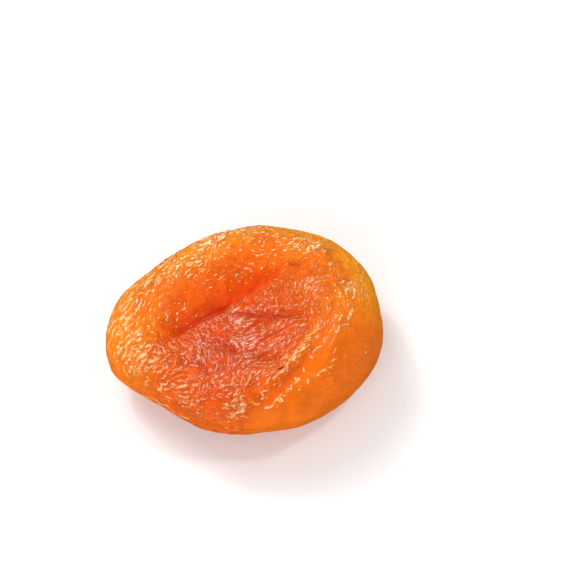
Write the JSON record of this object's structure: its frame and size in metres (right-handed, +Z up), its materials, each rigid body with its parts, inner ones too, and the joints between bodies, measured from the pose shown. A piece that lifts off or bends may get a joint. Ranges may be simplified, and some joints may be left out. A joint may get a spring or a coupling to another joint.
{
  "type": "dried apricot",
  "caption": "Whole pitted dried apricot, plump and flattened, with a creased hollow in its upper face and finely wrinkled skin, lying flat.",
  "frame": {"origin": "on the resting surface, below the middle of the fruit's bounding box", "axes": "+X along the fruit's length towards its blunt tip, +Y across it, +Z up out of the hollow face"},
  "size_m": [0.042, 0.0328, 0.0162],
  "materials": {
    "fruit_skin": "satin"
  },
  "bodies": {
    "root": {"dried_apricot": "fruit_skin"}
  },
  "joints": []
}
